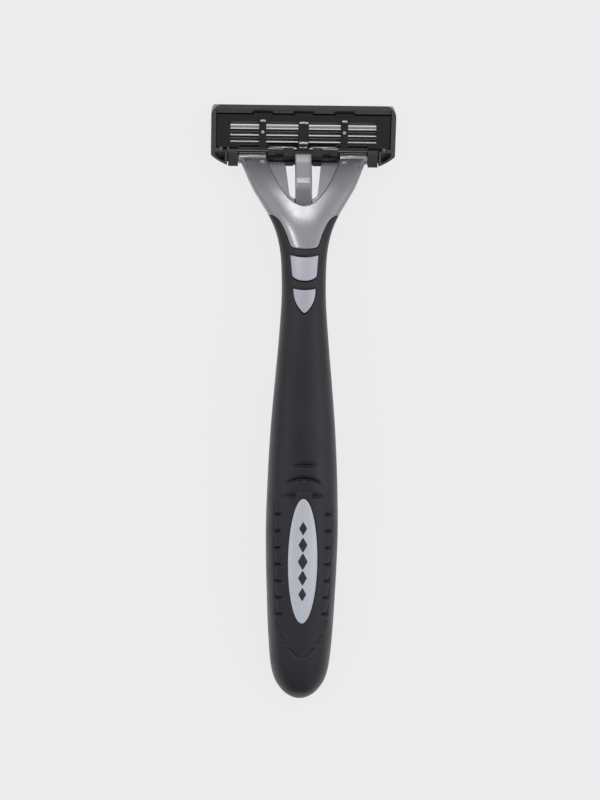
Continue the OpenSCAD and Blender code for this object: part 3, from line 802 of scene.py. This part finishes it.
def edge_softener():
    """A node group that shades faces smooth except across edges sharper than SHARP."""
    group = bpy.data.node_groups.new("smooth_by_angle", "GeometryNodeTree")
    group.interface.new_socket("Geometry", in_out="INPUT", socket_type="NodeSocketGeometry")
    group.interface.new_socket("Geometry", in_out="OUTPUT", socket_type="NodeSocketGeometry")
    add, link = group.nodes.new, group.links.new
    start, end = add("NodeGroupInput"), add("NodeGroupOutput")
    drop = add("GeometryNodeRemoveAttribute")
    drop.inputs["Name"].default_value = "custom_normal"
    faces, edges = add("GeometryNodeSetShadeSmooth"), add("GeometryNodeSetShadeSmooth")
    faces.domain, edges.domain = "FACE", "EDGE"
    angle, sharp = add("GeometryNodeInputMeshEdgeAngle"), add("FunctionNodeCompare")
    sharp.operation = "GREATER_THAN"
    sharp.inputs["B"].default_value = SHARP
    link(start.outputs[0], drop.inputs[0])
    link(drop.outputs[0], faces.inputs[0])
    link(faces.outputs[0], edges.inputs[0])
    link(angle.outputs["Unsigned Angle"], sharp.inputs["A"])
    link(sharp.outputs[0], edges.inputs["Selection"])
    edges.inputs["Shade Smooth"].default_value = False
    link(edges.outputs[0], end.inputs[0])
    return group


SMOOTH_BY_ANGLE = edge_softener()


def finish_node(name, material, rounding, segments=3, even=True):
    """Gives a CAD node its material and moulded, slightly rounded edges; even keeps the flats' shading flat."""
    node = NODES[name]
    for slot in node.material_slots:
        slot.material = material
    weld = node.modifiers.new("weld", "WELD")
    weld.merge_threshold = 0.001 * MM
    flat = node.modifiers.new("flat", "DECIMATE")
    flat.decimate_type = "DISSOLVE"
    flat.angle_limit = FLAT
    bevel = node.modifiers.new("rounding", "BEVEL")
    bevel.width = rounding * MM
    bevel.segments = segments
    bevel.limit_method = "ANGLE"
    bevel.angle_limit = SHARP
    bevel.miter_outer = "MITER_ARC"
    shade = node.modifiers.new("shading", "NODES")
    shade.node_group = SMOOTH_BY_ANGLE
    if even:
        flats = node.modifiers.new("flats", "WEIGHTED_NORMAL")
        flats.keep_sharp = True
        flats.weight = 80


# Side view of the tongue: the front from its root to the tip, and the rear face back to the root
TONGUE = [[43.95, 9.3], [44.3, 9.62], [47.6, 9.58], [48.4, 9.55], [49, 9.49], [49.6, 9.37], [50.2, 9.17],
          [50.8, 8.9], [51.4, 8.58], [53, 7.72], [55, 6.65], [57.05, 5.65], [57.25, 5.2], [57.15, 4.9], [56.9, 4.85],
          [55, 5.55], [53, 6.55], [50.4, 7.8], [49.4, 8.15], [48, 8.4], [44.3, 8.42], [43.92, 8.75]]
TONGUE_FILLET = 0.4
TONGUE_HALF = 1.92
TONGUE_EDGE = 0.22


def tongue():
    """The springy tongue: its side view swept across it, drawn in towards both sides for rounded edges."""
    line = filleted(TONGUE, TONGUE_FILLET)
    run = np.roll(line, -1, axis=0) - np.roll(line, 1, axis=0)
    inward = np.stack([run[:, 1], -run[:, 0]], axis=1) / np.linalg.norm(run, axis=1)[:, None]
    near = TONGUE_EDGE * (1 - np.cos(np.linspace(0, math.pi / 2, 7)))
    places = np.concatenate([near, [0.8, TONGUE_HALF], 2 * TONGUE_HALF - np.append(near, 0.8)[::-1]]) - TONGUE_HALF
    points = []
    for x in places:
        points += [[x, y, z] for y, z in line + inward * rounded(TONGUE_HALF - abs(x), TONGUE_EDGE)]
    count, last = len(line), (len(places) - 1) * len(line)
    faces = grid_faces(len(places), count, wrap=True, flip=True)
    faces += [tuple(range(count)), tuple(range(last + count - 1, last - 1, -1))]
    made = piece("tongue_leaf", points, faces, PEWTER, "tongue")
    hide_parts("return_tongue")


# Polished catches on the cartridge's ribs: middle x, half width, edge nearer the guard, height, and the foot's height
CATCHES = [[0, 1.05, 8.6, 0.4, 0.98], [0, 1.0, 3.85, 0.45, 0.98], [0, 0.85, 2.65, 0.35, 0],
           [9.4, 0.62, 9.0, 0.4, 0.88], [-9.4, 0.62, 9.0, 0.4, 0.88],
           [4.8, 3.3, 2.35, 0.5, 0.02], [-4.8, 3.3, 2.35, 0.5, 0.02]]
# Run of a catch's slope for each millimetre of height, its small edges, and how deep it is rooted in the rib
CATCH_SLOPE = 1.1
CATCH_EDGE = 0.05
CATCH_ROOT = 0.3
# Round studs on the outer ribs: their places, the ribs' back, their radius, and rings as [share of it, height]
STUDS = [[9.4, 6.4], [-9.4, 6.4]]
RIB_BACK = 1.0
STUD_R = 0.44
STUD_RINGS = [(1, -0.2), (1, 0), (0.8, 0.1), (0.45, 0.16)]
STUD_TOP = 0.18
STUD_POINTS = 20


def in_cartridge(u, v, w):
    """A place in the cartridge's own frame, turned into the part's frame."""
    tilt = math.radians(CART_TILT)
    return [u, PIVOT_Y + v * math.cos(tilt) - w * math.sin(tilt), PIVOT_Z + v * math.sin(tilt) + w * math.cos(tilt)]


def catch(middle, half, low, height, foot):
    """A block that slopes down towards the cap, its ends drawn in a little: points and faces."""
    sloped = low + CATCH_EDGE + (height - CATCH_EDGE) * CATCH_SLOPE
    profile = [(low - 0.06, foot - CATCH_ROOT), (low - 0.06, foot + height * 0.9), (low + CATCH_EDGE, foot + height),
               (sloped, foot + CATCH_EDGE), (sloped + CATCH_EDGE, foot - CATCH_ROOT)]
    ends = [(-half, CATCH_EDGE), (CATCH_EDGE - half, 0), (half - CATCH_EDGE, 0), (half, CATCH_EDGE)]
    points = [in_cartridge(middle + u, v, w - inset) for u, inset in ends for v, w in profile]
    count, last = len(profile), len(points) - len(profile)
    # Each quad starts one corner earlier than in a plain grid, so it splits along its other diagonal
    faces = [f[-1:] + f[:-1] for f in grid_faces(len(ends), count, wrap=True, flip=True)]
    return points, faces + [tuple(range(count)), tuple(range(last + count - 1, last - 1, -1))]


def stud(u, v):
    """A low round stud on a rib: points and faces."""
    turn = np.arange(STUD_POINTS) * 2 * math.pi / STUD_POINTS
    points = [in_cartridge(u, v, RIB_BACK + STUD_TOP)]
    for share, rise in reversed(STUD_RINGS):
        points += [in_cartridge(u + STUD_R * share * math.cos(t), v + STUD_R * share * math.sin(t), RIB_BACK + rise)
                   for t in turn]
    return points, disc_faces(len(STUD_RINGS), STUD_POINTS)


def carrier_details():
    """Bright details on the ribs: sloped catches that face the cap, and round studs."""
    points, faces = [], []
    for more, rings in [catch(*c) for c in CATCHES] + [stud(*place) for place in STUDS]:
        faces += [tuple(i + len(points) for i in f) for f in rings]
        points += more
    piece("carrier_marks", points, faces, CATCH, "cartridge")


rubber_grip()
fork_cover()
pad("box_pad", WINDOWS[0])
pad("shield_pad", WINDOWS[1])
emblem()
emblem_print()
carrier_details()
tongue()
finish_node("handle_core_rear", PEWTER, 0.15, even=False)
finish_node("cartridge_housing", BLACK_LIT_RIM, 0.2)
finish_node("blade_carrier", BLACK_GRID, 0.08)
finish_node("pivot_bracket", BLACK, 0.12)
for n in (1, 2, 3):
    finish_node(f"blade_support_{n}", SUPPORT, 0.05)
    finish_node(f"blade_edge_{n}", STEEL, 0.01, 1)
finish_node("lubricating_strip", STRIP, 0.15)
finish_node("guard_fins", FINS, 0.05)


# ---- Studio --------------------------------------------------------------------------------------
# In metres
FLOOR_HALF = 3.0
CAMERA_PLACE = (-0.0265, 0.0003, 0.605)
CAMERA_TARGET = (-0.0003, 0.0003, 0.005)
CAMERA_ROLL = math.radians(0.43)


def floor():
    """A wide pale panel under the razor, lit from within like a product table, so shadows stay faint."""
    mesh = bpy.data.meshes.new("floor")
    corners = [(x * FLOOR_HALF, y * FLOOR_HALF, 0) for x, y in ((-1, -1), (1, -1), (1, 1), (-1, 1))]
    mesh.from_pydata(corners, [], [(0, 1, 2, 3)])
    made = bpy.data.objects.new("floor", mesh)
    bpy.context.scene.collection.objects.link(made)
    look = Look("floor_panel", (0.1, 0.1, 0.1), Roughness=0.9, Specular_IOR_Level=0.05, Emission_Strength=0.775)
    tone = look.ramp(look.noise((0.004, 0.004, 0.004), 3), (0.995, 0.99, 0.995), (1.0, 1.0, 1.0))
    look.drive("Emission Color", tone)
    mesh.materials.append(look.material)


def light(name, place, target, size, power, shape="RECTANGLE"):
    """A soft area light aimed at a point, places and sizes in millimetres."""
    data = bpy.data.lights.new(name, "AREA")
    data.shape, data.energy = shape, power
    data.size, data.size_y = size[0] * MM, size[1] * MM
    made = bpy.data.objects.new(name, data)
    bpy.context.scene.collection.objects.link(made)
    made.location = Vector(place) * MM
    made.rotation_euler = (Vector(target) - Vector(place)).to_track_quat("-Z", "Y").to_euler()
    return made


# How bright the room is along each axis of the direction looked in, from -1 to 1
ROOM = {"Z": [(0.0, 0.42), (0.3, 0.6), (0.62, 1.0), (0.88, 0.95), (0.95, 0.62), (1.0, 0.3)],
        "Y": [(-1.0, 0.25), (-0.5, 0.62), (-0.16, 0.86), (0.0, 0.86), (0.5, 0.7), (0.84, 0.5)],
        "X": [(-1.0, 0.7), (-0.6, 0.75), (0.0, 0.7), (0.5, 0.95), (1.0, 0.9)]}
ROOM_LEVEL = 1.65


def world():
    """A soft white room: darker straight above, bright half way down, dim at the horizon and behind the tail."""
    made = bpy.data.worlds.new("room")
    made.use_nodes = True
    tree = made.node_tree
    back = tree.nodes["Background"]
    place, split = tree.nodes.new("ShaderNodeTexCoord"), tree.nodes.new("ShaderNodeSeparateXYZ")
    tree.links.new(place.outputs["Generated"], split.inputs[0])
    level = None
    for axis, tones in ROOM.items():
        share, curve = tree.nodes.new("ShaderNodeMapRange"), tree.nodes.new("ShaderNodeValToRGB")
        share.inputs["From Min"].default_value = -1
        tree.links.new(split.outputs[axis], share.inputs["Value"])
        tree.links.new(share.outputs["Result"], curve.inputs["Fac"])
        for _ in tones[2:]:
            curve.color_ramp.elements.new(0.5)
        for element, (at, tone) in zip(curve.color_ramp.elements, tones):
            element.position, element.color = (at + 1) / 2, (tone, tone, tone, 1)
        product = tree.nodes.new("ShaderNodeMath")
        product.operation = "MULTIPLY"
        tree.links.new(curve.outputs["Color"], product.inputs[0])
        if level is None:
            product.inputs[1].default_value = ROOM_LEVEL
        else:
            tree.links.new(level, product.inputs[1])
        level = product.outputs[0]
    tree.links.new(level, back.inputs["Strength"])
    back.inputs["Color"].default_value = (0.98, 0.98, 1.0, 1)
    bpy.context.scene.world = made


def camera():
    """Nearly straight above, a little to the razor's left, as far off as a hand-held product shot."""
    data = bpy.data.cameras.new("camera")
    data.sensor_width = 36
    data.lens = 117.2
    made = bpy.data.objects.new("camera", data)
    bpy.context.scene.collection.objects.link(made)
    place = Vector(CAMERA_PLACE)
    back = (place - Vector(CAMERA_TARGET)).normalized()
    up = Vector((-math.sin(CAMERA_ROLL), math.cos(CAMERA_ROLL), 0))
    right = up.cross(back).normalized()
    up = back.cross(right)
    made.matrix_world = Matrix.Translation(place) @ Matrix((right, up, back)).transposed().to_4x4()
    bpy.context.scene.camera = made


floor()
world()
light("window_strip", (-122, 352, 522), (0, 38, 14), (46, 150), 0.15)
light("lamp", (12, 492, 350), (0, 44, 12), (34, 80), 0.1, "ELLIPSE")
camera()
bpy.context.scene.view_settings.view_transform = "Standard"
